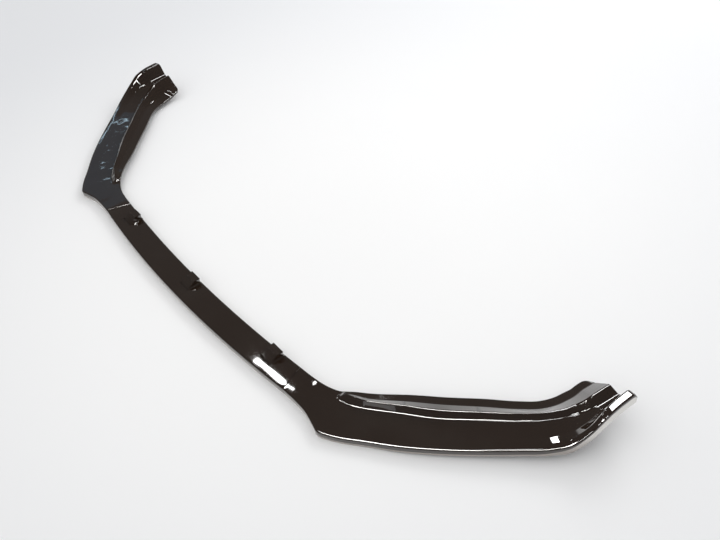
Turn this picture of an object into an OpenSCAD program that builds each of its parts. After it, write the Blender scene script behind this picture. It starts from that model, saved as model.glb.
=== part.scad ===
// Three-piece front splitter lip for a car bumper.
// A bowed centre blade with three raised locating tabs is joined at each end to a
// swept side blade that carries a stiffening ridge, a rear flange and a small winglet.
// X runs across the car, Y towards its rear and Z up. The origin is on the plane that
// the rims stand on, at the middle of the lip's plan. The outlines are laid out from the
// top edge of the front corners and then moved there.

/* [Overall size] */
// Half of the overall width, from the centre line to the winglet
half_width = 863; // [600:1:1100]
// How far the side blades reach back from the front corners
wing_depth = 420; // [250:1:600]
// Height of the winglet's tip above the blade at the front corners
tip_rise = 66; // [30:1:110]

/* [Blade and rim] */
// Wall thickness of all the mouldings
wall = 3; // [2:0.1:5]
// Height of the turned-down front rim, outside
rim_height = 15; // [8:0.5:30]
// Extra depth of the rim below the winglet
winglet_rim_extra = 9; // [0:0.5:20]
// How far the foot of the rim tucks back under the blade
rim_tuck = 1; // [0:0.1:5]
// Height of the stiffening fold along the rear edge, outside
rear_fold_height = 5; // [3.5:0.1:12]
// Radius of the folds and edges
edge_radius = 2.2; // [0.5:0.1:4]

/* [Centre blade] */
// Distance from the centre line to the seam, at the front edge
seam_front_x = 388; // [250:1:500]
// Distance from the centre line to the seam, at the rear edge
seam_rear_x = 367; // [240:1:490]
// Set-back of the seam's front end from the front corners
seam_front_y = 10.5; // [0:0.5:40]
// Set-back of the seam's rear end from the front corners
seam_rear_y = 67; // [40:0.5:140]
// Forward bow of the front edge between the seams
front_bow = 22; // [0:0.5:60]
// Forward bow of the rear edge between the seams
rear_bow = 17; // [0:0.5:60]
// Gap between the mouldings at each seam
seam_gap = 0.5; // [0.2:0.1:2]

/* [Locating tabs] */
// Spacing of the tabs across the car
tab_pitch = 306; // [100:1:330]
// Width of a tab at its foot
tab_width = 31; // [15:0.5:60]
// Length of a tab at its foot, front to rear
tab_length = 33; // [20:0.5:50]
// Height of a tab above the blade
tab_height = 13; // [6:0.5:30]
// Length of the flat seat on top of a tab
tab_seat_length = 13; // [6:0.5:25]
// Thickness of the seat plate on top of a tab
tab_seat_thickness = 2; // [1:0.1:4]
// How far the seat plate stands proud of the tab's sides
tab_seat_overhang = 0.8; // [0.2:0.1:3]
// Distance from the blade's rear edge to a tab's rear face
tab_rear_inset = 3; // [0:0.5:15]

/* [Lap joints] */
// Length of the tongue that reaches under the centre blade
tongue_length = 30; // [20:0.5:60]
// Width of the tongue, front to rear
tongue_width = 38; // [30:0.5:50]
// Thickness of the screw pad moulded under the centre blade
pad_thickness = 5; // [3:0.5:8]
// Spacing of the two screws of a joint
screw_pitch = 22; // [16:0.5:30]
// Diameter of the screw's shank
screw_diameter = 3.9; // [2.5:0.1:5]
// Clearance of the screw in its hole through the tongue
screw_clearance = 0.3; // [0.1:0.05:1]
// Diameter of the screw's head
screw_head_diameter = 7.5; // [5:0.1:10]
// Height of the screw's head
screw_head_height = 1.6; // [1:0.1:3]
// Length of the screw's shank
screw_length = 9; // [6:0.5:12]

/* [Ribs] */
// Thickness of the cross ribs under a side blade
rib_thickness = 2; // [1:0.1:4]
// How far the ribs stop short of the rim's foot
rib_relief = 5; // [2:0.5:12]

/* [Hidden] */

overrun = 1;
fold_steps = 3;
span_steps = 3;
bow_steps = 28;
round_facets = 32;

moulding_colour = [0.13, 0.12, 0.11];
screw_colour = [0.55, 0.55, 0.56];

// Places along a side blade, from the seam to the rear end. Each row is across, back
// and up, as shares of half_width, wing_depth and tip_rise.
outer_edge_shares = [
    [0.4496, 0.025, 0], [0.496, 0.029, 0], [0.533, 0.026, 0], [0.570, 0.010, 0],
    [0.594, 0.000, 0], [0.6145, 0.018, 0], [0.642, 0.052, 0], [0.676, 0.104, 0.01],
    [0.743, 0.204, 0.04], [0.804, 0.311, 0.08], [0.860, 0.422, 0.12], [0.913, 0.533, 0.17],
    [0.953, 0.617, 0.24], [0.979, 0.689, 0.36], [0.991, 0.760, 0.60], [0.9955, 0.812, 0.81],
    [0.997, 0.864, 0.92], [1, 1, 1]];
inner_edge_shares = [
    [0.4253, 0.1595, 0], [0.470, 0.168, 0], [0.503, 0.179, 0], [0.528, 0.195, 0],
    [0.543, 0.209, 0], [0.554, 0.222, 0.02], [0.572, 0.250, 0.03], [0.596, 0.290, 0.04],
    [0.660, 0.420, 0.05], [0.716, 0.524, 0.06], [0.767, 0.624, 0.06], [0.820, 0.722, 0.05],
    [0.844, 0.778, 0.03], [0.859, 0.844, 0.01], [0.865, 0.895, 0.02], [0.869, 0.925, 0.04],
    [0.872, 0.950, 0.06], [0.880, 1, 0.12]];

// Folds of the section, keyed by a place number in the lists above. The five place
// shares run from the outer edge to the inner one: foot of the winglet, foot of the
// ridge, ridge crest front, ridge crest rear, start of the flange.
fold_keys = [0, 4, 5, 7, 9, 12, 14, 17];
fold_place_shares = [
    [0.25, 0.64, 0.72, 0.80, 0.88],
    [0.25, 0.68, 0.75, 0.82, 0.89],
    [0.25, 0.72, 0.79, 0.85, 0.91],
    [0.25, 0.70, 0.77, 0.82, 0.89],
    [0.25, 0.586, 0.661, 0.719, 0.815],
    [0.25, 0.575, 0.645, 0.70, 0.80],
    [0.24, 0.47, 0.59, 0.67, 0.80],
    [0.285, 0.33, 0.52, 0.60, 0.79]];
// Heights of the same five folds, as shares of tip_rise.
fold_height_shares = [
    [0, 0, 0, 0, 0],
    [0, 0, 0, 0, 0],
    [0, 0, 0.12, 0.18, 0.10],
    [0.01, 0.01, 0.22, 0.32, 0.11],
    [0.07, 0.05, 0.27, 0.38, 0.12],
    [0.20, 0.17, 0.33, 0.39, 0.11],
    [0.38, 0.29, 0.39, 0.44, 0.14],
    [0.51, 0.42, 0.55, 0.59, 0.24]];
winglet_start_key = 11;
winglet_full_key = 15;
rib_place_keys = [6.6, 8.2, 9.4, 10.6];
last_key = len(outer_edge_shares) - 1;

seam_front = [seam_front_x, seam_front_y];
seam_rear = [seam_rear_x, seam_rear_y];
seam_length = norm(seam_rear - seam_front);
seam_angle = atan2(seam_rear_y - seam_front_y, seam_rear_x - seam_front_x);
pad_bottom = -wall - pad_thickness;
front_most = seam_front_y - front_bow;
placement = [0, -(wing_depth + front_most) / 2, rim_height];

// Rounded value of a smooth curve through rows of numbers, one row at each whole u.
function chord(a, b) = max(norm([b[0] - a[0], b[1] - a[1], b[2] - a[2]]), overrun / half_width);
function slope_at(rows, i) =
    let (before = max(i - 1, 0), after = min(i + 1, len(rows) - 1),
         back = before == i ? 0 : chord(rows[before], rows[i]),
         on = after == i ? 0 : chord(rows[i], rows[after]))
    back == 0 ? (rows[after] - rows[i]) / on
    : on == 0 ? (rows[i] - rows[before]) / back
    : ((rows[i] - rows[before]) / back * on + (rows[after] - rows[i]) / on * back) / (back + on);
function through(rows, u) =
    let (i = min(floor(u), len(rows) - 2), k = u - i, reach = chord(rows[i], rows[i + 1]),
         k2 = k * k, k3 = k2 * k)
    rows[i] * (2 * k3 - 3 * k2 + 1) + slope_at(rows, i) * reach * (k3 - 2 * k2 + k)
    + rows[i + 1] * (3 * k2 - 2 * k3) + slope_at(rows, i + 1) * reach * (k3 - k2);

// Value of a table between its keys, without overshoot.
function key_before(keys, u, i = 0) =
    i >= len(keys) - 2 || keys[i + 1] > u ? i : key_before(keys, u, i + 1);
function step_slope(keys, rows, i, c) =
    (rows[i + 1][c] - rows[i][c]) / (keys[i + 1] - keys[i]);
function calm_slope(keys, rows, i, c) =
    i == 0 || i == len(keys) - 1 ? 0
    : let (a = step_slope(keys, rows, i - 1, c), b = step_slope(keys, rows, i, c))
      a * b <= 0 ? 0 : 2 * a * b / (a + b);
function between(keys, rows, u) =
    let (i = key_before(keys, u), gap = keys[i + 1] - keys[i], k = (u - keys[i]) / gap,
         k2 = k * k, k3 = k2 * k)
    [for (c = [0:len(rows[0]) - 1])
        rows[i][c] * (2 * k3 - 3 * k2 + 1) + calm_slope(keys, rows, i, c) * gap * (k3 - 2 * k2 + k)
        + rows[i + 1][c] * (3 * k2 - 2 * k3) + calm_slope(keys, rows, i + 1, c) * gap * (k3 - k2)];

// Corner of a section turned into a curve, and a section line with its wall inside.
function bend(p, q, r, radius, steps) =
    let (a = p - q, b = r - q, near = min(radius, norm(a) * 0.4, norm(b) * 0.4),
         from = q + a / norm(a) * near, to = q + b / norm(b) * near)
    [for (i = [0:steps]) let (k = i / steps)
        from * (1 - k) * (1 - k) + q * 2 * k * (1 - k) + to * k * k];
function folded(line, radius, steps) = concat(
    [line[0]],
    [for (i = [1:len(line) - 2]) each bend(line[i - 1], line[i], line[i + 1], radius, steps)],
    [line[len(line) - 1]]);
function left_of(a, b) = let (d = (b - a) / norm(b - a)) [-d[1], d[0]];
function inside(line, depth) = [for (i = [0:len(line) - 1])
    let (n1 = left_of(line[max(i - 1, 0)], line[max(i, 1)]),
         n2 = left_of(line[min(i, len(line) - 2)], line[min(i + 1, len(line) - 1)]),
         m = n1 + n2)
    line[i] - m * depth * 2 / (m * m)];
function reversed(list) = [for (i = [len(list) - 1:-1:0]) list[i]];
function shell_section(line) =
    concat(folded(line, edge_radius, fold_steps),
           reversed(folded(inside(line, wall), edge_radius / 2, 1)));

// A station is its outer end, the unit vector towards its inner end and its section.
function station(outer, inner, section) =
    let (plan = [inner[0] - outer[0], inner[1] - outer[1]], way = plan / norm(plan))
    [for (p = section) [outer[0] + way[0] * p[0], outer[1] + way[1] * p[0], p[1]]];

module sweep(stations) {
    n = len(stations[0]);
    m = len(stations);
    polyhedron(
        points = [for (s = stations) each s],
        faces = concat(
            [[for (i = [n - 1:-1:0]) i]],
            [for (k = [0:m - 2]) for (i = [0:n - 1]) let (j = (i + 1) % n)
                each [[k * n + i, k * n + j, (k + 1) * n + i],
                      [k * n + j, (k + 1) * n + j, (k + 1) * n + i]]],
            [[for (i = [0:n - 1]) (m - 1) * n + i]]),
        convexity = 8);
}

// Side blade: section line and station at place u.
sizes = [half_width, wing_depth, tip_rise];
function scaled(row) = [for (c = [0:2]) row[c] * sizes[c]];
first_outer = [seam_front_x / half_width, seam_front_y / wing_depth, 0];
first_inner = [seam_rear_x / half_width, seam_rear_y / wing_depth, 0];
outer_rows = [for (i = [0:last_key]) i == 0 ? first_outer : outer_edge_shares[i]];
inner_rows = [for (i = [0:last_key]) i == 0 ? first_inner : inner_edge_shares[i]];
function outer_at(u) = scaled(through(outer_rows, u));
function inner_at(u) = scaled(through(inner_rows, u));
function winglet_share(u) =
    let (k = min(max((u - winglet_start_key) / (winglet_full_key - winglet_start_key), 0), 1))
    k * k * (3 - 2 * k);
function section_line(u) =
    let (outer = outer_at(u), inner = inner_at(u),
         across = norm([inner[0] - outer[0], inner[1] - outer[1]]),
         place = between(fold_keys, fold_place_shares, u) * across,
         height = between(fold_keys, fold_height_shares, u) * tip_rise,
         drop = rim_height + winglet_rim_extra * winglet_share(u))
    concat(
        [[rim_tuck, outer[2] - drop], [0, outer[2]]],
        [for (i = [0:4]) [place[i], height[i]]],
        [[across, inner[2]], [across, inner[2] - rear_fold_height]]);
function side_station(u) = station(outer_at(u), inner_at(u), shell_section(section_line(u)));

module place_rib(u) {
    outer = outer_at(u);
    inner = inner_at(u);
    translate([outer[0], outer[1], 0])
        rotate([0, 0, atan2(inner[1] - outer[1], inner[0] - outer[0])])
            rotate([90, 0, 0])
                linear_extrude(rib_thickness, center = true) children();
}

module rib(u) {
    line = section_line(u);
    under = inside(line, wall / 2);
    foot = line[1][1] - rim_height + rib_relief;
    place_rib(u)
        polygon([[wall / 2, foot], under[1], under[2], under[3], [under[3][0], foot]]);
}

// The seam's own frame: x points inwards from the seam, y from front to rear.
module at_seam(shift) {
    translate([seam_front_x, seam_front_y, 0])
        rotate([0, 0, seam_angle - 90])
            translate([-shift, seam_length / 2, 0]) children();
}

module at_screws() {
    for (side = [-1, 1])
        at_seam(tongue_length / 2) translate([0, side * screw_pitch / 2, 0]) children();
}

module tongue() {
    step = 2 * wall;
    at_seam(tongue_length / 2)
        translate([0, 0, pad_bottom - wall / 2])
            cube([tongue_length, tongue_width, wall], center = true);
    at_seam(-step / 2 + seam_gap / 2)
        translate([0, 0, (pad_bottom - wall - wall / 2) / 2])
            cube([step + seam_gap, tongue_width, wall / 2 - pad_bottom], center = true);
}

module side_splitter() {
    difference() {
        union() {
            sweep([for (i = [0:last_key * span_steps]) side_station(i / span_steps)]);
            for (u = rib_place_keys) rib(u);
            tongue();
        }
        at_screws()
            translate([0, 0, pad_bottom - wall - overrun])
                cylinder(d = screw_diameter + screw_clearance, h = wall + 2 * overrun,
                         $fn = round_facets);
    }
}

// Centre blade: its station at place u from -1 at the left seam to 1 at the right one.
function centre_front(u) =
    [u * (seam_front_x - seam_gap), seam_front_y - front_bow * (1 - u * u)];
function centre_rear(u) =
    [u * (seam_rear_x - seam_gap), seam_rear_y - rear_bow * (1 - u * u)];
function centre_station(u) =
    let (front = centre_front(u), rear = centre_rear(u), across = norm(rear - front))
    station(front, rear, shell_section(
        [[rim_tuck, -rim_height], [0, 0], [across, 0], [across, -rear_fold_height]]));

tab_rear_drop = tab_height + wall / 2;
function tab_rear_y(u) = centre_rear(u)[1] - tab_rear_inset;

module tab_outline(inset) {
    polygon([
        [-tab_length + inset, 0],
        [-tab_seat_length + inset / 2, tab_height - inset],
        [-inset, tab_height - inset],
        [-inset, 0]]);
}

module tab_body(inset, drop) {
    rotate([90, 0, 90])
        linear_extrude(tab_width - 2 * inset, center = true) {
            tab_outline(inset);
            translate([-tab_length + inset, -drop])
                square([tab_length - 2 * inset, drop]);
        }
}

module tab_seat() {
    translate([0, -tab_seat_length / 2, tab_height - tab_seat_thickness / 2])
        cube([tab_width + 2 * tab_seat_overhang, tab_seat_length + 2 * tab_seat_overhang,
              tab_seat_thickness], center = true);
}

module at_tabs() {
    for (i = [-1:1])
        translate([i * tab_pitch, tab_rear_y(i * tab_pitch / seam_rear_x), 0]) children();
}

module screw_pad() {
    width = tongue_width;
    at_seam(tongue_length / 2 + seam_gap)
        translate([0, 0, pad_bottom / 2 - wall / 4])
            cube([tongue_length - seam_gap, width, pad_thickness + wall / 2], center = true);
}

module both_sides() {
    children();
    mirror([1, 0, 0]) children();
}

module centre_splitter() {
    color(moulding_colour)
        translate(placement)
            difference() {
                union() {
                    sweep([for (i = [-bow_steps:2:bow_steps]) centre_station(i / bow_steps)]);
                    at_tabs() {
                        tab_body(0, wall / 2);
                        tab_seat();
                    }
                    both_sides() screw_pad();
                }
                at_tabs() tab_body(wall, wall + overrun);
                both_sides() at_screws()
                    translate([0, 0, pad_bottom - overrun])
                        cylinder(d = screw_diameter, h = screw_length - wall + overrun,
                                 $fn = round_facets);
            }
}

module right_splitter() {
    color(moulding_colour) translate(placement) side_splitter();
}

module left_splitter() {
    color(moulding_colour) mirror([1, 0, 0]) translate(placement) side_splitter();
}

module seam_screw() {
    seat = pad_bottom - wall;
    translate([0, 0, seat])
        cylinder(d = screw_diameter, h = screw_length, $fn = round_facets);
    translate([0, 0, seat - screw_head_height])
        cylinder(d = screw_head_diameter, h = screw_head_height, $fn = round_facets);
}

module seam_screws() {
    color(screw_colour)
        translate(placement) both_sides() at_screws() seam_screw();
}

centre_splitter();
right_splitter();
left_splitter();
seam_screws();
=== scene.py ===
"""Gloss black front splitter lip: smooth mouldings, finishes, stage and camera."""
from math import atan2, hypot, pi, radians, sqrt

import bpy
from mathutils import Matrix, Vector


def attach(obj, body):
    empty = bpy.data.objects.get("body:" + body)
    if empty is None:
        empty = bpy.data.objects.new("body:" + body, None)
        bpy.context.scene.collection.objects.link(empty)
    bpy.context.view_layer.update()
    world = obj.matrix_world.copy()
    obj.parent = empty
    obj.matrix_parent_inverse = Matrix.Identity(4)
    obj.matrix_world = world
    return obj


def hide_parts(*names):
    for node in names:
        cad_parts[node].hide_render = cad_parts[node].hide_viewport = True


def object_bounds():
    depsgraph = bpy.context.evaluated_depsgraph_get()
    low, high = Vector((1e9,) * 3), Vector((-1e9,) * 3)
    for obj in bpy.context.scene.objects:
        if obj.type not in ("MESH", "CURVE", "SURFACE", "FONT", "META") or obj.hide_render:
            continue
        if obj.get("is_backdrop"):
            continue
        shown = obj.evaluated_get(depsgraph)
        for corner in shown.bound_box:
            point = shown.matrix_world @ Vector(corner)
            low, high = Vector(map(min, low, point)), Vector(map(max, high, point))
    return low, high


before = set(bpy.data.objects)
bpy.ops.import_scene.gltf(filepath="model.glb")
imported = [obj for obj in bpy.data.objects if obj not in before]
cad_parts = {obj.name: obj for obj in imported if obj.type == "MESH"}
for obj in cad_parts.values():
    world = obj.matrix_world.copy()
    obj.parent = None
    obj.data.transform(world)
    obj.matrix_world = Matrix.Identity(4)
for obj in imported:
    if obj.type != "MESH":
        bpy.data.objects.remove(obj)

bl_info = {
    "name": "Front splitter lip",
    "version": (1, 0, 0),
    "blender": (4, 5, 0),
    "location": "3D View > Sidebar > Splitter",
    "description": "Dresses a three-piece front splitter lip and sets its studio stage",
    "category": "Object",
}

CAD_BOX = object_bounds()
MOULDINGS = ("centre_splitter", "right_splitter", "left_splitter")
SCREWS = "seam_screws"
RIM_FACE_AND_REFLECTION_MASK = "rim_face"
GLOSS_NAME = "gloss_black_moulding"

# Heights between which the pale reflection painted on the rim's outer face turns to the paler
# one painted below a winglet.
RIM_HEIGHTS = (0.020, 0.050)

# Places along a side blade, from the seam to the rear end. Each row is across, back
# and up, as shares of half the width, the wing's depth and the tip's rise.
OUTER_EDGE_SHARES = (
    (0.4496, 0.025, 0), (0.496, 0.029, 0), (0.533, 0.026, 0), (0.570, 0.010, 0),
    (0.594, 0.000, 0), (0.6145, 0.018, 0), (0.642, 0.052, 0), (0.676, 0.104, 0.01),
    (0.743, 0.204, 0.04), (0.804, 0.311, 0.08), (0.860, 0.422, 0.12),
    (0.913, 0.533, 0.17), (0.953, 0.617, 0.24), (0.979, 0.689, 0.36),
    (0.991, 0.760, 0.60), (0.9955, 0.812, 0.80), (0.997, 0.864, 0.90), (1, 1, 0.965))
INNER_EDGE_SHARES = (
    (0.4253, 0.1595, 0), (0.470, 0.168, 0), (0.503, 0.179, 0), (0.528, 0.195, 0),
    (0.543, 0.209, 0.01), (0.554, 0.222, 0.055), (0.572, 0.250, 0.09),
    (0.596, 0.290, 0.09), (0.660, 0.420, 0.07), (0.716, 0.524, 0.06),
    (0.767, 0.624, 0.06), (0.820, 0.722, 0.05), (0.844, 0.778, 0.03),
    (0.859, 0.844, 0.01), (0.865, 0.895, 0.02), (0.869, 0.925, 0.04),
    (0.871, 0.950, 0.09), (0.877, 1, 0.16))

# Folds of a side blade's section, keyed by a place number in the rows above. The five
# places run from the outer edge to the inner one: inner edge of the winglet's cap, foot
# of the winglet, foot of the ridge, ridge crest and start of the flange. The cap's height
# is measured from the outer edge and the other heights from the blade's front corner.
FOLD_KEYS = (0, 4, 5, 6, 7, 9, 12, 14, 17)
FOLD_PLACE_SHARES = (
    (0.10, 0.25, 0.66, 0.76, 0.88), (0.10, 0.25, 0.80, 0.865, 0.93),
    (0.10, 0.25, 0.79, 0.885, 0.950), (0.10, 0.25, 0.735, 0.835, 0.91),
    (0.10, 0.25, 0.70, 0.76, 0.86), (0.10, 0.25, 0.586, 0.661, 0.826),
    (0.10, 0.25, 0.575, 0.645, 0.80), (0.10, 0.24, 0.47, 0.59, 0.80),
    (0.145, 0.30, 0.345, 0.53, 0.81))
FOLD_HEIGHT_SHARES = (
    (0, 0, 0, 0, 0), (0, 0, 0, 0, 0), (0, 0, 0, 0.10, 0.08), (0, 0, 0, 0.17, 0.11),
    (0, 0.01, 0.01, 0.22, 0.11), (0, 0.07, 0.05, 0.24, 0.12),
    (0, 0.20, 0.17, 0.32, 0.11), (0, 0.38, 0.29, 0.40, 0.14),
    (0.015, 0.47, 0.44, 0.58, 0.25))

# Place numbers of the ribs, and those between which the rim deepens below the winglet
# and its pale strip of painted reflection widens.
RIB_PLACES = (6.6, 8.2, 9.4, 10.6)
WINGLET_START, WINGLET_FULL = 11, 15
PALE_START, PALE_FULL = 11.5, 13.5

# How much of the last stretch the extra sections take, and how much of a section's side
# the curve at one of its corners may take.
END_STRETCH_SHARE = 0.5
CURVE_REACH_SHARE = 0.4

# Marks on the gloss: scale, detail and stretch of the noise, the values of it between
# which a mark shows, and the mark's strength. Clouds of handling, wipe marks, dust.
GLOSS_MARKS = (
    (5.0, 4.0, (1, 1, 1), (0.45, 0.75), 0.6),
    (30.0, 3.0, (1, 9, 1), (0.56, 0.80), 0.25),
    (900.0, 1.0, (1, 1, 1), (0.74, 0.80), 0.5),
)

# Waves in the gloss: scale of the noise and height. The left blade has one more.
RIPPLES = ((9.0, 1.0), (260.0, 0.012))
UNEVEN_SCALE = 14.0
RIPPLE_DETAIL = 2.0

# Lamp that lights the part and the floor: name, place, aim, width, height and power.
KEY_LAMP = ("key_softbox", (-0.5, 2.6, 1.6), (0.1, 0, 0), 1.6, 1.0, 26)

# Lamps overhead that show in the gloss alone: name, start, end, width, radiance, colour.
STRIP_LAMPS = (
    ("seam_stripe", (-1.062, 0.319, 1.5), (-0.862, 0.338, 1.5), 0.026, 40, (1, 1, 1)),
    ("seam_stripe_tip", (-0.866, 0.335, 1.5), (-0.806, 0.350, 1.5), 0.009, 40, (1, 1, 1)),
    ("seam_spot", (-0.775, 0.430, 1.5), (-0.775, 0.444, 1.5), 0.009, 40, (1, 1, 1)),
    ("front_bar", (-0.25, -0.35, 1.8), (0.95, -0.45, 1.8), 0.30, 50, (1, 0.98, 0.95)),
    ("tip_bar", (0.22, 0.40, 1.8), (0.34, 1.80, 1.8), 0.50, 22, (1, 1, 1)),
    ("bend_block", (-1.20, 1.24, 1.8), (-1.31, 1.44, 1.8), 0.12, 30, (1, 1, 1)),
    ("bend_block_small", (-0.58, -0.03, 1.8), (-0.44, -0.03, 1.8), 0.16, 30, (1, 1, 1)),
    ("cap_spot", (0.36, -0.92, 1.8), (0.60, -0.92, 1.8), 0.24, 30, (1, 1, 1)),
    ("cap_spot_upper", (0.88, 0.03, 1.8), (1.06, 0.03, 1.8), 0.20, 30, (1, 1, 1)),
    ("far_streak", (-3.36, 0.42, 1.7), (-3.06, 0.82, 1.7), 0.020, 7.0, (0.62, 0.84, 1.0)),
    ("far_streak_inner", (-3.20, 0.52, 1.7), (-3.00, 0.98, 1.7), 0.016, 5.0, (0.62, 0.84, 1.0)),
    ("far_glow", (-3.45, 0.62, 1.75), (-2.95, 0.62, 1.75), 0.6, 0.13, (0.25, 0.55, 0.85)),
)


class MouldingSettings(bpy.types.PropertyGroup):
    """Sizes and colours of the moulded blades"""

    black: bpy.props.FloatVectorProperty(
        name="Plastic black", description="Colour of the moulded plastic",
        subtype="COLOR", size=3, min=0, max=1, default=(0.0165, 0.0085, 0.0045))
    haze: bpy.props.FloatVectorProperty(
        name="Haze", description="Colour of the thin haze of handling on the gloss",
        subtype="COLOR", size=3, min=0, max=1, default=(0.026, 0.018, 0.013))
    gloss_roughness: bpy.props.FloatProperty(
        name="Gloss roughness", description="Roughness of the clean gloss",
        min=0, max=1, default=0.02)
    haze_roughness: bpy.props.FloatProperty(
        name="Haze roughness", description="Roughness where the gloss is handled",
        min=0, max=1, default=0.07)
    # Painted reflection: the rim's outer face gets a pale colour that stands in for the white
    # floor reflected in it, and a paler one below a winglet.
    rim_painted_reflection: bpy.props.FloatVectorProperty(
        name="Rim colour", description="Colour of the rim's outer face",
        subtype="COLOR", size=3, min=0, max=1, default=(0.315, 0.28, 0.255))
    winglet_rim_painted_reflection: bpy.props.FloatVectorProperty(
        name="Winglet rim colour", description="Colour of the outer face below a winglet",
        subtype="COLOR", size=3, min=0, max=1, default=(0.66, 0.635, 0.60))
    rim_roughness: bpy.props.FloatProperty(
        name="Rim roughness", description="Roughness of the rim's outer face",
        min=0, max=1, default=0.32)
    ior: bpy.props.FloatProperty(
        name="Refractive index", description="Refractive index of the gloss",
        min=1, max=2, default=1.55)
    reflection: bpy.props.FloatProperty(
        name="Reflection", description="Strength of the gloss seen square on",
        min=0, max=1, default=0.5)
    unevenness: bpy.props.FloatProperty(
        name="Unevenness", description="Extra waviness of the left side blade's gloss",
        min=0, default=5)
    uneven_from: bpy.props.FloatVectorProperty(
        name="Uneven from", description="Distances to the left between which it grows",
        unit="LENGTH", size=2, default=(0.40, 0.50))
    ripple_strength: bpy.props.FloatProperty(
        name="Ripple strength", description="How strongly the waves bend the gloss",
        min=0, max=1, default=0.25)
    ripple_depth: bpy.props.FloatProperty(
        name="Ripple depth", description="Depth of the waves in the gloss",
        unit="LENGTH", min=0, default=0.0008)
    weld: bpy.props.FloatProperty(
        name="Weld distance", description="Distance under which corners are merged",
        unit="LENGTH", min=0, default=0.00001)
    smooth_angle: bpy.props.FloatProperty(
        name="Smooth angle", description="Folds sharper than this keep a crisp edge",
        subtype="ANGLE", min=0, max=radians(180), default=radians(38))


class ScrewSettings(bpy.types.PropertyGroup):
    """Colours and finish of the seam screws"""

    zinc: bpy.props.FloatVectorProperty(
        name="Zinc", description="Colour of the clean plating",
        subtype="COLOR", size=3, min=0, max=1, default=(0.52, 0.53, 0.56))
    warm_zinc: bpy.props.FloatVectorProperty(
        name="Warm zinc", description="Colour of the plating where it has yellowed",
        subtype="COLOR", size=3, min=0, max=1, default=(0.63, 0.60, 0.52))
    roughness: bpy.props.FloatProperty(
        name="Roughness", description="Least roughness of the plating",
        min=0, max=1, default=0.25)
    grain_roughness: bpy.props.FloatProperty(
        name="Grain roughness", description="Roughness that the grain adds",
        min=0, max=1, default=0.25)
    grain_strength: bpy.props.FloatProperty(
        name="Grain strength", description="How strongly the grain shows",
        min=0, max=1, default=0.2)
    grain_depth: bpy.props.FloatProperty(
        name="Grain depth", description="Depth of the grain", unit="LENGTH",
        min=0, default=0.0002)


class SideBladeSettings(bpy.types.PropertyGroup):
    """Sizes of a side blade's shell and of the seam beside it"""

    half_width: bpy.props.FloatProperty(
        name="Half width", description="From the centre line to the winglet",
        unit="LENGTH", min=0.6, default=0.8629)
    wing_depth: bpy.props.FloatProperty(
        name="Wing depth", description="How far the blade reaches back from the corner",
        unit="LENGTH", min=0.25, default=0.420)
    tip_rise: bpy.props.FloatProperty(
        name="Tip rise", description="Height that the shares of the rise are taken of",
        unit="LENGTH", min=0.03, default=0.066)
    seam_front: bpy.props.FloatVectorProperty(
        name="Seam front", description="Front end of the seam, across and back",
        unit="LENGTH", size=2, default=(0.388, 0.0105))
    seam_rear: bpy.props.FloatVectorProperty(
        name="Seam rear", description="Rear end of the seam, across and back",
        unit="LENGTH", size=2, default=(0.367, 0.067))
    front_line: bpy.props.FloatProperty(
        name="Front line", description="Where the front corners lie in the frame",
        unit="LENGTH", default=-0.20425)
    wall: bpy.props.FloatProperty(
        name="Wall", description="Thickness of the shell", unit="LENGTH",
        min=0.001, default=0.003)
    rim_height: bpy.props.FloatProperty(
        name="Rim height", description="Height of the turned-down front rim",
        unit="LENGTH", min=0.005, default=0.015)
    winglet_rim_extra: bpy.props.FloatProperty(
        name="Winglet rim extra", description="Extra depth of the rim below the winglet",
        unit="LENGTH", min=0, default=0.009)
    rim_tuck: bpy.props.FloatProperty(
        name="Rim tuck", description="How far the rim's foot tucks back",
        unit="LENGTH", min=0, default=0.001)
    rear_fold_height: bpy.props.FloatProperty(
        name="Rear fold height", description="Height of the fold along the rear edge",
        unit="LENGTH", min=0.0035, default=0.005)
    fold_radius: bpy.props.FloatProperty(
        name="Fold radius", description="Radius of the folds", unit="LENGTH",
        min=0.0005, default=0.0026)
    rim_radius: bpy.props.FloatProperty(
        name="Rim radius", description="Radius of the rim's top edge", unit="LENGTH",
        min=0.001, default=0.0045)
    corner_radius: bpy.props.FloatProperty(
        name="Corner radius", description="Radius of the rear corners", unit="LENGTH",
        min=0.002, default=0.011)
    seam_radius: bpy.props.FloatProperty(
        name="Seam radius", description="Softening of the edges at the seams",
        unit="LENGTH", min=0.0001, default=0.0012)
    tongue_reach_walls: bpy.props.FloatProperty(
        name="Tongue reach", description="How far past the seam the packed tongue is "
        "taken over, in walls", min=1, default=2.1)
    rim_reach_walls: bpy.props.FloatProperty(
        name="Rim reach", description="Depth, in walls, of the strips along the front and "
        "rear edges that the shell makes anew", min=1, default=2)
    pad_length: bpy.props.FloatProperty(
        name="Pad length", description="Reach of the screw pads from the seam's rear end",
        unit="LENGTH", min=0.01, default=0.033)
    pad_depth: bpy.props.FloatProperty(
        name="Pad depth", description="Reach of the screw pads back from the front corners",
        unit="LENGTH", min=0.01, default=0.06)
    rib_thickness: bpy.props.FloatProperty(
        name="Rib thickness", description="Thickness of the cross ribs below",
        unit="LENGTH", min=0.001, default=0.002)
    rib_relief: bpy.props.FloatProperty(
        name="Rib relief", description="How far the ribs stop short of the rim's foot",
        unit="LENGTH", min=0.002, default=0.005)
    # The pale share is the strip of the rim's outer face painted with a pale reflection; it
    # grows below a winglet.
    pale_rim: bpy.props.FloatProperty(
        name="Pale rim", description="Share of the rim's outer face that is pale",
        min=0.05, max=0.95, default=0.45)
    pale_winglet: bpy.props.FloatProperty(
        name="Pale winglet", description="That share below a winglet",
        min=0.05, max=0.98, default=0.96)
    steps: bpy.props.IntProperty(
        name="Steps", description="Sections between two places", min=2, default=8)
    end_steps: bpy.props.IntProperty(
        name="End steps", description="Extra sections round the rear corners",
        min=4, default=12)
    bend_steps: bpy.props.IntProperty(
        name="Bend steps", description="Faces round a fold", min=2, default=8)


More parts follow.
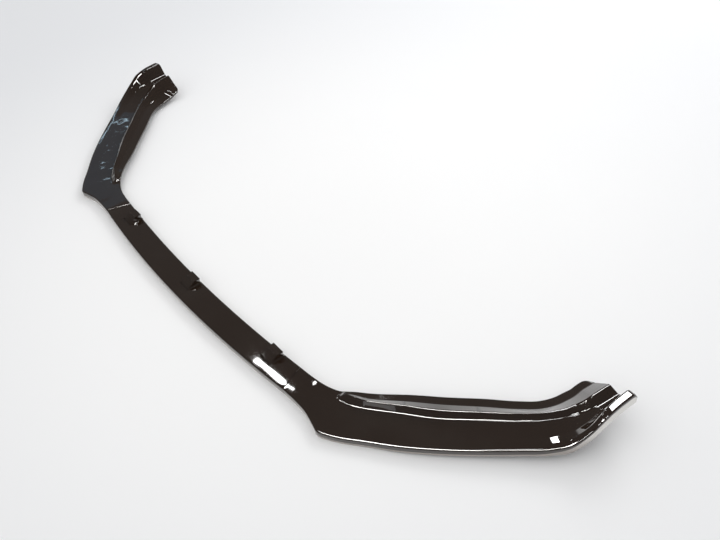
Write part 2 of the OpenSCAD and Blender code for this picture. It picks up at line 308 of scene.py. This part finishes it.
class CentreSettings(bpy.types.PropertyGroup):
    """Sizes of the centre blade that the side blades don't share"""

    front_bow: bpy.props.FloatProperty(
        name="Front bow", description="Forward bow of the front edge between the seams",
        unit="LENGTH", min=0, default=0.022)
    rear_bow: bpy.props.FloatProperty(
        name="Rear bow", description="Forward bow of the rear edge between the seams",
        unit="LENGTH", min=0, default=0.017)
    seam_gap: bpy.props.FloatProperty(
        name="Seam gap", description="Gap between the mouldings at a seam",
        unit="LENGTH", min=0, default=0.0005)
    tab_pitch: bpy.props.FloatProperty(
        name="Tab pitch", description="Spacing of the tabs across the car",
        unit="LENGTH", min=0.1, default=0.306)
    tab_width: bpy.props.FloatProperty(
        name="Tab width", description="Width of a tab at its foot", unit="LENGTH",
        min=0.015, default=0.031)
    tab_length: bpy.props.FloatProperty(
        name="Tab length", description="Length of a tab at its foot", unit="LENGTH",
        min=0.02, default=0.033)
    tab_rear_inset: bpy.props.FloatProperty(
        name="Tab rear inset", description="From the blade's rear edge to a tab's rear",
        unit="LENGTH", min=0, default=0.003)
    tab_foot: bpy.props.FloatProperty(
        name="Tab foot", description="Width of the sloped foot around a tab",
        unit="LENGTH", min=0.0005, default=0.0025)
    steps: bpy.props.IntProperty(
        name="Steps", description="Sections from the centre line to a seam",
        min=4, default=40)


class StageSettings(bpy.types.PropertyGroup):
    """Sizes and colours of the stage, the lamps and the camera"""

    camera_place: bpy.props.FloatVectorProperty(
        name="Camera place", description="Where the camera stands",
        subtype="TRANSLATION", unit="LENGTH", size=3, default=(1.3766, -0.6032, 1.2096))
    azimuth: bpy.props.FloatProperty(
        name="Azimuth", description="Turn of the camera about the upright axis",
        subtype="ANGLE", default=radians(57.96))
    elevation: bpy.props.FloatProperty(
        name="Elevation", description="Height angle of the camera",
        subtype="ANGLE", default=radians(41.48))
    roll: bpy.props.FloatProperty(
        name="Roll", description="Turn of the camera about its own view axis",
        subtype="ANGLE", default=radians(-8.88))
    lens: bpy.props.FloatProperty(
        name="Lens", description="Focal length on a sensor 36 mm wide",
        subtype="DISTANCE_CAMERA", default=42.5)
    floor_size: bpy.props.FloatProperty(
        name="Floor size", description="Side of the square floor",
        unit="LENGTH", min=1, default=30)
    # Painted pool of light: the floor fades from its white in the middle to a greyer painted
    # shade away from it.
    floor_colour: bpy.props.FloatVectorProperty(
        name="Floor colour", description="Colour of the floor under the lip",
        subtype="COLOR", size=3, min=0, max=1, default=(0.97, 0.97, 0.97))
    floor_painted_shade_colour: bpy.props.FloatVectorProperty(
        name="Floor edge colour", description="Colour of the floor away from the lip",
        subtype="COLOR", size=3, min=0, max=1, default=(0.79, 0.80, 0.82))
    fill: bpy.props.FloatProperty(
        name="Fill", description="Strength of the world's light on the part",
        min=0, default=0.84)
    ceiling: bpy.props.FloatProperty(
        name="Ceiling", description="Strength of the world overhead in the gloss",
        min=0, max=1, default=0.13)
    dark_side: bpy.props.FloatVectorProperty(
        name="Dark side", description="Sideways parts of a direction between which the "
        "reflected surroundings turn from dark to bright",
        size=2, default=(-0.5, 0.1))
    ceiling_band: bpy.props.FloatVectorProperty(
        name="Ceiling band", description="Heights of direction between which it darkens",
        size=2, min=0, max=1, default=(0.10, 0.24))
    # Middle and fade distances of the pool of light painted on the floor.
    floor_middle: bpy.props.FloatVectorProperty(
        name="Floor middle", description="Where the floor is whitest",
        subtype="TRANSLATION", unit="LENGTH", size=3, default=(0.12, 0.10, 0))
    floor_fade: bpy.props.FloatVectorProperty(
        name="Floor fade", description="Distances at which the floor starts and ends fading",
        unit="LENGTH", size=2, default=(0.25, 1.6))


class Socket:
    """A shader socket that plain expressions can be written on"""

    def __init__(self, tree, socket):
        self.tree, self.socket = tree, socket

    def node(self, kind, settings=None, inputs=None, output=0):
        made = self.tree.nodes.new(kind)
        for name, value in (settings or {}).items():
            if name == "stops":
                ramp = made.color_ramp
                for element, (place, colour) in zip(ramp.elements, value):
                    element.position, element.color = place, (*colour, 1)
                for place, colour in value[2:]:
                    ramp.elements.new(place).color = (*colour, 1)
            else:
                setattr(made, name, value)
        for name, value in (inputs or {}).items():
            target = made.inputs[name]
            if isinstance(value, Socket):
                self.tree.links.new(value.socket, target)
            else:
                target.default_value = value
        return Socket(self.tree, made.outputs[output])

    def maths(self, operation, *values):
        return self.node("ShaderNodeMath", {"operation": operation}, dict(enumerate(values)))

    def __add__(self, other): return self.maths("ADD", self, other)
    def __radd__(self, other): return self.maths("ADD", other, self)
    def __sub__(self, other): return self.maths("SUBTRACT", self, other)
    def __rsub__(self, other): return self.maths("SUBTRACT", other, self)
    def __mul__(self, other): return self.maths("MULTIPLY", self, other)
    def __rmul__(self, other): return self.maths("MULTIPLY", other, self)
    def __truediv__(self, other): return self.maths("DIVIDE", self, other)

    def clamped(self):
        return self.node("ShaderNodeClamp", inputs={"Value": self})

    def larger(self, other):
        return self.maths("MAXIMUM", self, other)

    def between(self, low, high):
        return self.node("ShaderNodeMapRange", {"interpolation_type": "SMOOTHSTEP"},
                         {"Value": self, "From Min": low, "From Max": high})

    def mixed(self, first, second):
        """A colour from first where this is 0 to second where it is 1"""
        return self.node("ShaderNodeMix", {"data_type": "RGBA"},
                         {0: self, 6: first, 7: second}, output=2)

    def attribute(self, name):
        return self.node("ShaderNodeAttribute", {"attribute_name": name}, output=2)

    def across(self):
        return self.node("ShaderNodeSeparateXYZ", inputs={"Vector": self}, output=0)

    def back(self):
        return self.node("ShaderNodeSeparateXYZ", inputs={"Vector": self}, output=1)

    def height(self):
        return self.node("ShaderNodeSeparateXYZ", inputs={"Vector": self}, output=2)

    def noise(self, scale, detail=3.0, stretch=(1, 1, 1)):
        spread = self.node("ShaderNodeMapping", inputs={"Vector": self, "Scale": stretch})
        return self.node("ShaderNodeTexNoise", inputs={
            "Vector": spread, "Scale": scale, "Detail": detail})


def blank_material(name):
    """A material with a plain principled shader, and its tree's object coordinates"""
    material = bpy.data.materials.new(name)
    material.use_nodes = True
    tree = material.node_tree
    coordinates = tree.nodes.new("ShaderNodeTexCoord")
    return material, tree.nodes["Principled BSDF"], Socket(tree, coordinates.outputs["Object"])


def feed(shader, **values):
    """Sets or links the sockets of a shader, written with _ for a space"""
    for name, value in values.items():
        target = shader.inputs[name.replace("_", " ")]
        if isinstance(value, Socket):
            value.tree.links.new(value.socket, target)
        else:
            target.default_value = value


def gloss_black(settings):
    """Moulded gloss black plastic with faint haze, wipe marks, moulding ripple and a pale
    reflection painted on the rim's outer face
    """
    material, shader, place = blank_material(GLOSS_NAME)
    haze = sum(place.noise(scale, detail, stretch).between(*band) * strength
               for scale, detail, stretch, band, strength in GLOSS_MARKS).clamped()
    uneven = (place.across() * -1).between(*settings.uneven_from) * settings.unevenness
    ripple = sum(place.noise(scale, RIPPLE_DETAIL) * height for scale, height in RIPPLES)
    ripple = ripple + place.noise(UNEVEN_SCALE, RIPPLE_DETAIL) * uneven
    span = settings.haze_roughness - settings.gloss_roughness
    gloss = haze * span + settings.gloss_roughness
    # The rim's outer face gets a painted pale reflection in its colour, paler with height below
    # a winglet, and a rougher finish.
    rim = place.attribute(RIM_FACE_AND_REFLECTION_MASK)
    raised = place.height().between(*RIM_HEIGHTS)
    rim_painted_reflection = raised.mixed((*settings.rim_painted_reflection, 1), (*settings.winglet_rim_painted_reflection, 1))
    feed(shader,
         Base_Color=rim.mixed(haze.mixed((*settings.black, 1), (*settings.haze, 1)), rim_painted_reflection),
         Roughness=rim * (settings.rim_roughness - gloss) + gloss,
         IOR=settings.ior,
         Specular_IOR_Level=settings.reflection,
         Coat_Weight=1.0,
         Coat_Roughness=settings.gloss_roughness,
         Normal=ripple.node("ShaderNodeBump", inputs={
             "Strength": settings.ripple_strength, "Distance": settings.ripple_depth,
             "Height": ripple}))
    return material


def zinc_screw(settings):
    """Zinc plated steel with a dull grain"""
    material, shader, place = blank_material("zinc_screw")
    grain = place.noise(700.0, 3.0)
    cloud = place.noise(160.0, 2.0).between(0.4, 0.7)
    feed(shader,
         Base_Color=cloud.mixed((*settings.zinc, 1), (*settings.warm_zinc, 1)),
         Metallic=1.0,
         Roughness=grain * settings.grain_roughness + settings.roughness,
         Normal=grain.node("ShaderNodeBump", inputs={
             "Strength": settings.grain_strength, "Distance": settings.grain_depth,
             "Height": grain}))
    return material


def use_only(obj):
    """Leaves one object selected and active"""
    bpy.ops.object.select_all(action="DESELECT")
    obj.select_set(True)
    bpy.context.view_layer.objects.active = obj


def chord(start, end):
    return hypot(end[0] - start[0], end[1] - start[1])


def slope_at(rows, i):
    """Slope per plan distance of a smooth curve through rows, at row i"""
    before, after = max(i - 1, 0), min(i + 1, len(rows) - 1)
    if before == i:
        return (rows[after] - rows[i]) / chord(rows[i], rows[after])
    if after == i:
        return (rows[i] - rows[before]) / chord(rows[before], rows[i])
    back, on = chord(rows[before], rows[i]), chord(rows[i], rows[after])
    return ((rows[i] - rows[before]) / back * on
            + (rows[after] - rows[i]) / on * back) / (back + on)


def hermite(k):
    """Weights of a start, its slope, an end and its slope at share k of the way"""
    return (2 * k ** 3 - 3 * k ** 2 + 1, k ** 3 - 2 * k ** 2 + k,
            3 * k ** 2 - 2 * k ** 3, k ** 3 - k ** 2)


def through(rows, u):
    """Point of a smooth curve through rows of points, one row at each whole u"""
    i = min(int(u), len(rows) - 2)
    reach = chord(rows[i], rows[i + 1])
    start, leave, end, arrive = hermite(u - i)
    return (rows[i] * start + slope_at(rows, i) * reach * leave
            + rows[i + 1] * end + slope_at(rows, i + 1) * reach * arrive)


def calm_slope(keys, values, i):
    """Slope of a table at key i that never overshoots"""
    if i in (0, len(keys) - 1):
        return 0
    before = (values[i] - values[i - 1]) / (keys[i] - keys[i - 1])
    after = (values[i + 1] - values[i]) / (keys[i + 1] - keys[i])
    return 0 if before * after <= 0 else 2 * before * after / (before + after)


def looked_up(keys, table, u):
    """The columns of a table at u, smoothly between its keys"""
    i = max(k for k in range(len(keys) - 1) if keys[k] <= u)
    gap = keys[i + 1] - keys[i]
    start, leave, end, arrive = hermite((u - keys[i]) / gap)
    return [values[i] * start + calm_slope(keys, values, i) * gap * leave
            + values[i + 1] * end + calm_slope(keys, values, i + 1) * gap * arrive
            for values in zip(*table)]


def folded(line, rim_radius, radius, steps):
    """A section line whose corners are turned into curves"""
    points = [line[0]]
    for i in range(1, len(line) - 1):
        back, on = line[i - 1] - line[i], line[i + 1] - line[i]
        near = min(rim_radius if i == 1 else radius,
                   back.length * CURVE_REACH_SHARE, on.length * CURVE_REACH_SHARE)
        start, end = line[i] + back.normalized() * near, line[i] + on.normalized() * near
        for step in range(steps + 1):
            k = step / steps
            points.append(start * (1 - k) ** 2 + line[i] * 2 * k * (1 - k) + end * k ** 2)
    return points + [line[-1]]


def inside(line, depth):
    """A section line moved inwards by depth, with mitred corners"""
    ways = [(end - start).normalized() for start, end in zip(line, line[1:])]
    sides = [Vector((-way.y, way.x)) for way in ways]
    mitres = [a + b for a, b in zip([sides[0], *sides], [*sides, sides[-1]])]
    return [point - mitre * depth * 2 / mitre.length_squared
            for point, mitre in zip(line, mitres)]


def corner_cut(radius, distance):
    """How far a rounded corner falls back at a distance from its end"""
    return 0 if distance >= radius else radius - sqrt(radius ** 2 - (radius - distance) ** 2)


class SideBlade:
    """Rails and sections of a side blade, measured from the front corners"""

    def __init__(self, settings):
        self.settings = settings
        sizes = (settings.half_width, settings.wing_depth, settings.tip_rise)
        self.rails = []
        for shares, seam in ((OUTER_EDGE_SHARES, settings.seam_front),
                             (INNER_EDGE_SHARES, settings.seam_rear)):
            rows = [Vector(share * size for share, size in zip(row, sizes)) for row in shares]
            rows[0] = Vector((*seam, 0))
            self.rails.append(rows)

    def rail_points(self, u):
        return [through(rows, u) for rows in self.rails]

    def pale_share(self, u):
        """Share of the rim's outer face painted pale as a reflection, which grows below the
        winglet
        """
        start, end = self.settings.pale_rim, self.settings.pale_winglet
        grown = min(max((u - PALE_START) / (PALE_FULL - PALE_START), 0), 1)
        return start + (end - start) * grown

    def line(self, u):
        """Section line at place u, from the rim's foot to the rear fold's foot"""
        settings = self.settings
        outer, inner = self.rail_points(u)
        across = chord(outer, inner)
        grown = min(max((u - WINGLET_START) / (WINGLET_FULL - WINGLET_START), 0), 1)
        drop = (settings.rim_height
                + settings.winglet_rim_extra * grown ** 2 * (3 - 2 * grown))
        low_cut = corner_cut(settings.corner_radius, settings.wing_depth - inner.y)
        top_cut = corner_cut(settings.corner_radius, settings.wing_depth - outer.y)
        top = outer.z - top_cut
        places = [share * across for share in looked_up(FOLD_KEYS, FOLD_PLACE_SHARES, u)]
        heights = [share * settings.tip_rise
                   for share in looked_up(FOLD_KEYS, FOLD_HEIGHT_SHARES, u)]
        heights[0] += top
        end = across - low_cut
        points = [(settings.rim_tuck, outer.z - drop), (0, top), *zip(places, heights),
                  (end, inner.z), (end, inner.z - settings.rear_fold_height)]
        return [Vector(point) for point in points]

    def placed(self, u, section):
        """Section points at place u as points of the frame"""
        outer, inner = self.rail_points(u)
        way = (inner - outer).xy.normalized()
        return [(outer.x + way.x * point.x, self.settings.front_line + outer.y + way.y * point.x,
                 self.settings.rim_height + point.y) for point in section]

    def ring(self, u):
        """Closed section at place u: the outside, then the inside of the wall"""
        settings = self.settings
        line = self.line(u)
        outside = folded(line, settings.rim_radius, settings.fold_radius, settings.bend_steps)
        # The rim's foot strip cut off here is the face painted pale as a reflection.
        outside.insert(1, outside[0].lerp(outside[1], self.pale_share(u)))
        within = folded(inside(line, settings.wall), settings.fold_radius,
                        settings.fold_radius / 2, settings.bend_steps // 4)
        return self.placed(u, outside + within[::-1])

    def rib(self, u):
        """Top and foot of a cross rib at place u, from the rim to the foot of the ridge"""
        line = self.line(u)
        top = inside(line, self.settings.wall / 2)[1:5]
        foot = line[1].y - self.settings.rim_height + self.settings.rib_relief
        low = [Vector((point.x, foot)) for point in top]
        return self.placed(u, top), self.placed(u, low)


def sheet_of(name, rows):
    """A grid whose corners are moved to rows of points"""
    bpy.ops.object.select_all(action="DESELECT")
    across, along = len(rows[0]) - 1, len(rows) - 1
    bpy.ops.mesh.primitive_grid_add(x_subdivisions=across, y_subdivisions=along, size=2)
    piece = bpy.context.object
    piece.name = name
    for corner in piece.data.vertices:
        column = round((corner.co.x + 1) / 2 * across)
        corner.co = rows[round((corner.co.y + 1) / 2 * along)][column]
    piece.matrix_world.identity()
    return piece


def edit(piece, *calls):
    """Runs operators on everything in a piece, in edit mode"""
    use_only(piece)
    bpy.ops.object.mode_set(mode="EDIT")
    bpy.ops.mesh.select_all(action="SELECT")
    for call, options in calls:
        call(**options)
    bpy.ops.object.mode_set(mode="OBJECT")


def side_shell(settings, weld):
    """Lofted shell of the right side blade, closed at both ends"""
    blade = SideBlade(settings)
    last = len(OUTER_EDGE_SHARES) - 1
    regular = [i / settings.steps for i in range(last * settings.steps)]
    places = [u for u in regular if u < last - END_STRETCH_SHARE]
    places += [last - END_STRETCH_SHARE * (1 - i / settings.end_steps) ** 2
               for i in range(settings.end_steps + 1)]
    return closed_shell("right_shell", [blade.ring(u) for u in places], weld)


def closed_shell(name, rings, weld):
    """A shell through closed rings of points, closed at both ends

    The first face of each ring is the rim's strip of painted pale reflection, so the mask is set
    there.
    """
    shell = sheet_of(name, [ring + ring[:1] for ring in rings])
    mask = shell.data.attributes.new(RIM_FACE_AND_REFLECTION_MASK, "FLOAT", "FACE")
    columns = len(rings[0])
    for face, value in zip(shell.data.polygons, mask.data):
        value.value = float(face.index % columns == 0)
    edit(shell, (bpy.ops.mesh.remove_doubles, {"threshold": weld}),
         (bpy.ops.mesh.fill_holes, {"sides": 0}),
         (bpy.ops.mesh.normals_make_consistent, {"inside": False}))
    return shell


def soften_ends(shell, radius):
    """Bevels the edges round a shell's flat ends"""
    use_only(shell)
    largest = sorted(shell.data.polygons, key=lambda face: len(face.vertices))[-2:]
    ends = {face.index for face in largest}
    for face in shell.data.polygons:
        face.select = face.index in ends
    bpy.ops.object.mode_set(mode="EDIT")
    bpy.ops.mesh.select_mode(type="FACE")
    bpy.ops.mesh.region_to_loop()
    bpy.ops.mesh.bevel(offset=radius, segments=2, affect="EDGES")
    bpy.ops.mesh.select_mode(type="FACE")
    bpy.ops.object.mode_set(mode="OBJECT")


def side_ribs(settings):
    """Cross ribs below the right side blade"""
    blade = SideBlade(settings)
    ribs = []
    for u in RIB_PLACES:
        rib = sheet_of("rib", blade.rib(u))
        use_only(rib)
        bpy.ops.object.modifier_add(type="SOLIDIFY")
        rib.modifiers[-1].thickness, rib.modifiers[-1].offset = settings.rib_thickness, 0
        bpy.ops.object.modifier_apply(modifier=rib.modifiers[-1].name)
        edit(rib, (bpy.ops.mesh.normals_make_consistent, {"inside": False}))
        ribs.append(rib)
    return ribs


def packed_part(node, name, weld, kept):
    """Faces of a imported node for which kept, given a face's place, is true"""
    part = bpy.data.objects.new(name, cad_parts[node].data.copy())
    bpy.context.scene.collection.objects.link(part)
    edit(part, (bpy.ops.mesh.remove_doubles, {"threshold": weld}),
         (bpy.ops.mesh.select_all, {"action": "DESELECT"}))
    for face in part.data.polygons:
        face.select = not kept(face.center)
    use_only(part)
    bpy.ops.object.mode_set(mode="EDIT")
    bpy.ops.mesh.select_mode(type="FACE")
    bpy.ops.mesh.delete(type="FACE")
    bpy.ops.object.mode_set(mode="OBJECT")
    return part


def lap_tongue(settings, weld):
    """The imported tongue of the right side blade's lap joint"""
    limit = settings.rim_height - settings.wall - weld
    rear_side = settings.front_line + settings.seam_rear[1]

    def kept(place):
        outward = (Vector((place.x, place.y - settings.front_line))
                   - Vector(settings.seam_front)) @ seam_out(settings)
        return (place.z < limit and outward < settings.tongue_reach_walls * settings.wall
                and place.y < rear_side and not near_rim(place, settings))

    return packed_part(MOULDINGS[1], "tongue", weld, kept)


def seam_out(settings):
    """Unit vector across the seam, outwards"""
    along = (Vector(settings.seam_rear) - Vector(settings.seam_front)).normalized()
    return Vector((along.y, -along.x))


def near_rim(place, settings):
    """True where a place is in the front rim or the rear fold beside the tongue"""
    along = Vector(settings.seam_rear) - Vector(settings.seam_front)
    reach = (Vector((place.x, place.y - settings.front_line))
             - Vector(settings.seam_front)) @ along.normalized()
    edge = settings.rim_reach_walls * settings.wall
    return reach < edge or reach > along.length - edge


def finish_moulding(skin, node, settings, material):
    """Smooth shading, the finish and the node that a skin stands for"""
    use_only(skin)
    bpy.ops.object.shade_smooth_by_angle(angle=settings.smooth_angle)
    bpy.ops.object.modifier_add(type="WEIGHTED_NORMAL")
    skin.modifiers[-1].keep_sharp = True
    bpy.ops.object.modifier_apply(modifier=skin.modifiers[-1].name)
    skin.data.materials.clear()
    skin.data.materials.append(material)
    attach(skin, "root")
    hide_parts(node)


def right_blade(shape, weld):
    """Shell, ribs and tongue of the right side blade as one piece"""
    shell = side_shell(shape, weld)
    soften_ends(shell, shape.seam_radius)
    parts = [shell, *side_ribs(shape), lap_tongue(shape, weld)]
    return joined(parts, MOULDINGS[1] + "_skin")


def left_blade(right):
    """Mirror image of the right side blade"""
    left = bpy.data.objects.new(MOULDINGS[2] + "_skin", right.data.copy())
    bpy.context.scene.collection.objects.link(left)
    for corner in left.data.vertices:
        corner.co.x = -corner.co.x
    edit(left, (bpy.ops.mesh.flip_normals, {}))
    return left


class CentreBlade(SideBlade):
    """Rails and sections of the centre blade, from -1 at one seam to 1 at the other"""

    def __init__(self, settings, centre):
        self.settings, self.centre = settings, centre

    def rail_points(self, u):
        gap, bowed = self.centre.seam_gap, 1 - u * u
        front, rear = self.settings.seam_front, self.settings.seam_rear
        return (Vector((u * (front[0] - gap), front[1] - self.centre.front_bow * bowed, 0)),
                Vector((u * (rear[0] - gap), rear[1] - self.centre.rear_bow * bowed, 0)))

    def pale_share(self, u):
        return self.settings.pale_rim

    def line(self, u):
        settings = self.settings
        across = chord(*self.rail_points(u))
        points = [(settings.rim_tuck, -settings.rim_height), (0, 0), (across, 0),
                  (across, -settings.rear_fold_height)]
        return [Vector(point) for point in points]


def joined(parts, name):
    """Parts joined into the first of them, under a new name"""
    use_only(parts[0])
    for part in parts[1:]:
        part.select_set(True)
    bpy.ops.object.join()
    parts[0].name = name
    return parts[0]


def tab_places(settings, centre):
    """Middles of the tabs' rear feet, in plan"""
    blade = CentreBlade(settings, centre)
    for i in (-1, 0, 1):
        across = i * centre.tab_pitch
        rear = blade.rail_points(across / settings.seam_rear[0])[1]
        yield across, settings.front_line + rear.y - centre.tab_rear_inset


def cut_tab_opening(shell, settings, centre, place):
    """Opens the blade below the hollow of one tab"""
    across, rear = place
    wall = settings.wall
    width, length = centre.tab_width - 2 * wall, centre.tab_length - 2 * wall
    bpy.ops.object.select_all(action="DESELECT")
    bpy.ops.mesh.primitive_cube_add(
        size=1, location=(across, rear - centre.tab_length / 2, settings.rim_height - wall / 2),
        scale=(width, length, 2 * wall))
    cutter = bpy.context.object
    use_only(shell)
    bpy.ops.object.modifier_add(type="BOOLEAN")
    cut = shell.modifiers[-1]
    cut.operation, cut.solver, cut.object = "DIFFERENCE", "EXACT", cutter
    bpy.ops.object.modifier_apply(modifier=cut.name)
    use_only(cutter)
    bpy.ops.object.delete()


def tab_foot(settings, centre, place, weld):
    """Sloped foot, of triangular section, around one tab"""
    across, rear = place
    top = settings.rim_height

    def ring(grown, height):
        half = centre.tab_width / 2 + grown
        front, back = rear - centre.tab_length - grown, rear + grown
        corners = [(across - half, front), (across + half, front),
                   (across + half, back), (across - half, back)]
        return [(*corner, top + height) for corner in corners + corners[:1]]

    low, high, within = ring(centre.tab_foot, 0), ring(0, centre.tab_foot), ring(0, 0)
    foot = sheet_of("tab_foot", [low, high, within, low])
    edit(foot, (bpy.ops.mesh.remove_doubles, {"threshold": weld}),
         (bpy.ops.mesh.normals_make_consistent, {"inside": False}))
    return foot


class SPLITTER_OT_centre(bpy.types.Operator):
    """Model and dress the centre blade"""

    bl_idname = "splitter.centre"
    bl_label = "Centre blade"

    def execute(self, context):
        scene = context.scene
        settings, shape, centre = (scene.splitter_moulding, scene.splitter_side,
                                   scene.splitter_centre)
        blade = CentreBlade(shape, centre)
        steps = centre.steps
        rings = [blade.ring(i / steps) for i in range(-steps, steps + 1)]
        shell = closed_shell("centre_shell", rings, settings.weld)
        soften_ends(shell, shape.seam_radius)
        top, bottom = shape.rim_height + settings.weld, shape.rim_height - shape.wall
        pad_start = shape.seam_rear[0] - shape.pad_length
        parts = [packed_part(MOULDINGS[0], "tabs", settings.weld, lambda place: place.z > top)]
        for place in tab_places(shape, centre):
            cut_tab_opening(shell, shape, centre, place)
            parts.append(tab_foot(shape, centre, place, settings.weld))

        def in_pad(place):
            mirrored = Vector((abs(place.x), place.y, place.z))
            return (place.z < bottom - settings.weld and mirrored.x > pad_start
                    and not near_rim(mirrored, shape)
                    and place.y < shape.front_line + shape.pad_depth)

        parts.append(packed_part(MOULDINGS[0], "pads", settings.weld, in_pad))
        skin = joined([shell, *parts], MOULDINGS[0] + "_skin")
        finish_moulding(skin, MOULDINGS[0], settings, gloss_black(settings))
        return {"FINISHED"}


class SPLITTER_OT_sides(bpy.types.Operator):
    """Model and dress the two side blades"""

    bl_idname = "splitter.sides"
    bl_label = "Side blades"

    def execute(self, context):
        settings = context.scene.splitter_moulding
        material = bpy.data.materials.get(GLOSS_NAME) or gloss_black(settings)
        right = right_blade(context.scene.splitter_side, settings.weld)
        left = left_blade(right)
        for skin, node in ((right, MOULDINGS[1]), (left, MOULDINGS[2])):
            finish_moulding(skin, node, settings, material)
        return {"FINISHED"}


class SPLITTER_OT_screws(bpy.types.Operator):
    """Dress the screws of the lap joints"""

    bl_idname = "splitter.screws"
    bl_label = "Seam screws"

    def execute(self, context):
        material = zinc_screw(context.scene.splitter_screws)
        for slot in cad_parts[SCREWS].material_slots:
            slot.material = material
        return {"FINISHED"}


def add_floor(settings):
    """Pale floor with a painted pool of light, whiter in the middle and painted greyer towards
    the edges
    """
    bpy.ops.mesh.primitive_plane_add(size=settings.floor_size, location=(0, 0, 0))
    floor = bpy.context.object
    floor.name = "studio_floor"
    material, shader, place = blank_material("studio_floor")
    reach = place.node("ShaderNodeVectorMath", {"operation": "DISTANCE"},
                       {0: place, 1: settings.floor_middle}, output=1)
    feed(shader,
         Base_Color=reach.between(*settings.floor_fade).mixed(
             (*settings.floor_colour, 1), (*settings.floor_painted_shade_colour, 1)),
         Roughness=1.0, Specular_IOR_Level=0.0)
    floor.data.materials.append(material)
    floor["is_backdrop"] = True


def light_world(settings):
    """White to the eye, softer as light on the part

    In the gloss it is bright low on the far side alone, and dim overhead and near by.
    """
    world = bpy.data.worlds.new("studio")
    bpy.context.scene.world = world
    world.use_nodes = True
    tree = world.node_tree
    path = tree.nodes.new("ShaderNodeLightPath")
    seen = Socket(tree, path.outputs["Is Camera Ray"])
    for name in ("Is Glossy Ray", "Is Transmission Ray"):
        seen = seen.larger(Socket(tree, path.outputs[name]))
    background = tree.nodes["Background"]
    background.inputs["Color"].default_value = (1, 1, 1, 1)
    strength = seen * (1 - settings.fill) + settings.fill
    direction = Socket(tree, tree.nodes.new("ShaderNodeTexCoord").outputs["Generated"])
    high = direction.height().between(*settings.ceiling_band)
    glossy = Socket(tree, path.outputs["Is Glossy Ray"])
    near_side = 1 - direction.back().between(*settings.dark_side)
    dim = high.larger(near_side)
    strength = strength * (1 - glossy * dim * (1 - settings.ceiling))
    tree.links.new(strength.socket, background.inputs["Strength"])


def add_softbox(name, place, aim, width, height, power):
    """Rectangular lamp at place that faces the point aim"""
    lamp = bpy.data.lights.new(name, "AREA")
    lamp.shape, lamp.size, lamp.size_y, lamp.energy = "RECTANGLE", width, height, power
    holder = bpy.data.objects.new(name, lamp)
    bpy.context.scene.collection.objects.link(holder)
    way = (Vector(place) - Vector(aim)).normalized()
    turn = way.to_track_quat("Z", "Y").to_matrix().to_4x4()
    holder.matrix_world = Matrix.Translation(place) @ turn
    return holder


def add_strip_lamp(name, start, end, width, radiance, colour):
    """Lamp that faces down, from start to end, and shows in the gloss alone"""
    start, end = Vector(start), Vector(end)
    along = end - start
    lamp = bpy.data.lights.new(name, "AREA")
    lamp.shape, lamp.size, lamp.size_y = "RECTANGLE", along.length, width
    lamp.energy, lamp.color = radiance * pi * along.length * width, colour
    holder = bpy.data.objects.new(name, lamp)
    bpy.context.scene.collection.objects.link(holder)
    holder.visible_camera = holder.visible_diffuse = False
    turn = Matrix.Rotation(atan2(along.y, along.x), 4, "Z")
    holder.matrix_world = Matrix.Translation((start + end) / 2) @ turn


def add_camera(settings):
    """Camera at the viewing angle, standing over the nearer side blade"""
    camera = bpy.data.objects.new("camera", bpy.data.cameras.new("camera"))
    bpy.context.scene.collection.objects.link(camera)
    camera.data.lens = settings.lens
    turn = (Matrix.Rotation(settings.azimuth, 4, "Z")
            @ Matrix.Rotation(radians(90) - settings.elevation, 4, "X")
            @ Matrix.Rotation(settings.roll, 4, "Z"))
    camera.matrix_world = Matrix.Translation(settings.camera_place) @ turn
    bpy.context.scene.camera = camera


class SPLITTER_OT_stage(bpy.types.Operator):
    """Set the floor, the lamps and the camera"""

    bl_idname = "splitter.stage"
    bl_label = "Stage"

    def execute(self, context):
        settings = context.scene.splitter_stage
        context.scene.view_settings.view_transform = "Standard"
        add_floor(settings)
        light_world(settings)
        add_softbox(*KEY_LAMP).visible_glossy = False
        for lamp in STRIP_LAMPS:
            add_strip_lamp(*lamp)
        add_camera(settings)
        return {"FINISHED"}


class SPLITTER_PT_panel(bpy.types.Panel):
    """Lists the steps that dress the lip"""

    bl_label = "Front splitter"
    bl_idname = "SPLITTER_PT_panel"
    bl_space_type = "VIEW_3D"
    bl_region_type = "UI"
    bl_category = "Splitter"

    def draw(self, context):
        for step in STEPS:
            self.layout.operator(step.bl_idname)


STEPS = (SPLITTER_OT_centre, SPLITTER_OT_sides, SPLITTER_OT_screws, SPLITTER_OT_stage)
CLASSES = (MouldingSettings, ScrewSettings, SideBladeSettings, CentreSettings,
           StageSettings, *STEPS, SPLITTER_PT_panel)


def register():
    for item in CLASSES:
        bpy.utils.register_class(item)
    bpy.types.Scene.splitter_moulding = bpy.props.PointerProperty(type=MouldingSettings)
    bpy.types.Scene.splitter_screws = bpy.props.PointerProperty(type=ScrewSettings)
    bpy.types.Scene.splitter_side = bpy.props.PointerProperty(type=SideBladeSettings)
    bpy.types.Scene.splitter_centre = bpy.props.PointerProperty(type=CentreSettings)
    bpy.types.Scene.splitter_stage = bpy.props.PointerProperty(type=StageSettings)


def unregister():
    del bpy.types.Scene.splitter_moulding
    del bpy.types.Scene.splitter_screws
    del bpy.types.Scene.splitter_side
    del bpy.types.Scene.splitter_centre
    del bpy.types.Scene.splitter_stage
    for item in reversed(CLASSES):
        bpy.utils.unregister_class(item)


def main():
    register()
    bpy.ops.splitter.centre()
    bpy.ops.splitter.sides()
    bpy.ops.splitter.screws()
    bpy.ops.splitter.stage()
    boxes = {"cad": CAD_BOX, "visual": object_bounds()}
    plain = {name: [list(corner) for corner in box] for name, box in boxes.items()}


if __name__ == "__main__":
    main()
